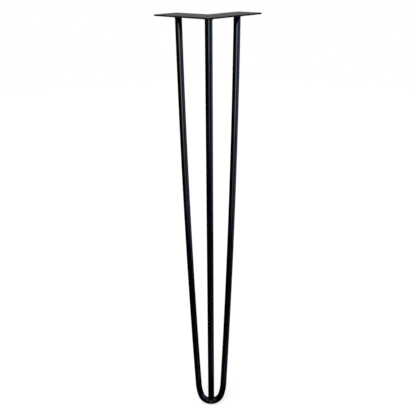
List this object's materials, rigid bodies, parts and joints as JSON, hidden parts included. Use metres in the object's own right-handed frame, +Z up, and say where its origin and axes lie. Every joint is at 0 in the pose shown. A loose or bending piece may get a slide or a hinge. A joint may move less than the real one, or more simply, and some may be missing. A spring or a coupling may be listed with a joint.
{
  "type": "hairpin table leg",
  "caption": "Splayed hairpin table leg of round steel bar, welded to a thin L-shaped screw plate, all coated black.",
  "frame": {"origin": "centre of the corner screw hole, on the top face of the plate, where the centrelines of its two arms cross", "axes": "+Z up, out of the plate into the table top; +X and +Y along the plate's two arms; the leg hangs down -Z and splays out along -X-Y"},
  "size_m": [0.2252, 0.2252, 0.711],
  "materials": {
    "bar_coat": "satin black powder coat on round steel bar",
    "plate_coat": "satin black powder coat on flat steel sheet",
    "weld_coat": "satin black powder coat over rippled weld beads"
  },
  "bodies": {
    "root": {"mounting_plate": "plate_coat", "hairpin_rod": "bar_coat", "centre_rod": "bar_coat", "right_weld": "weld_coat", "left_weld": "weld_coat", "corner_weld": "weld_coat", "foot_weld": "weld_coat"}
  },
  "joints": []
}
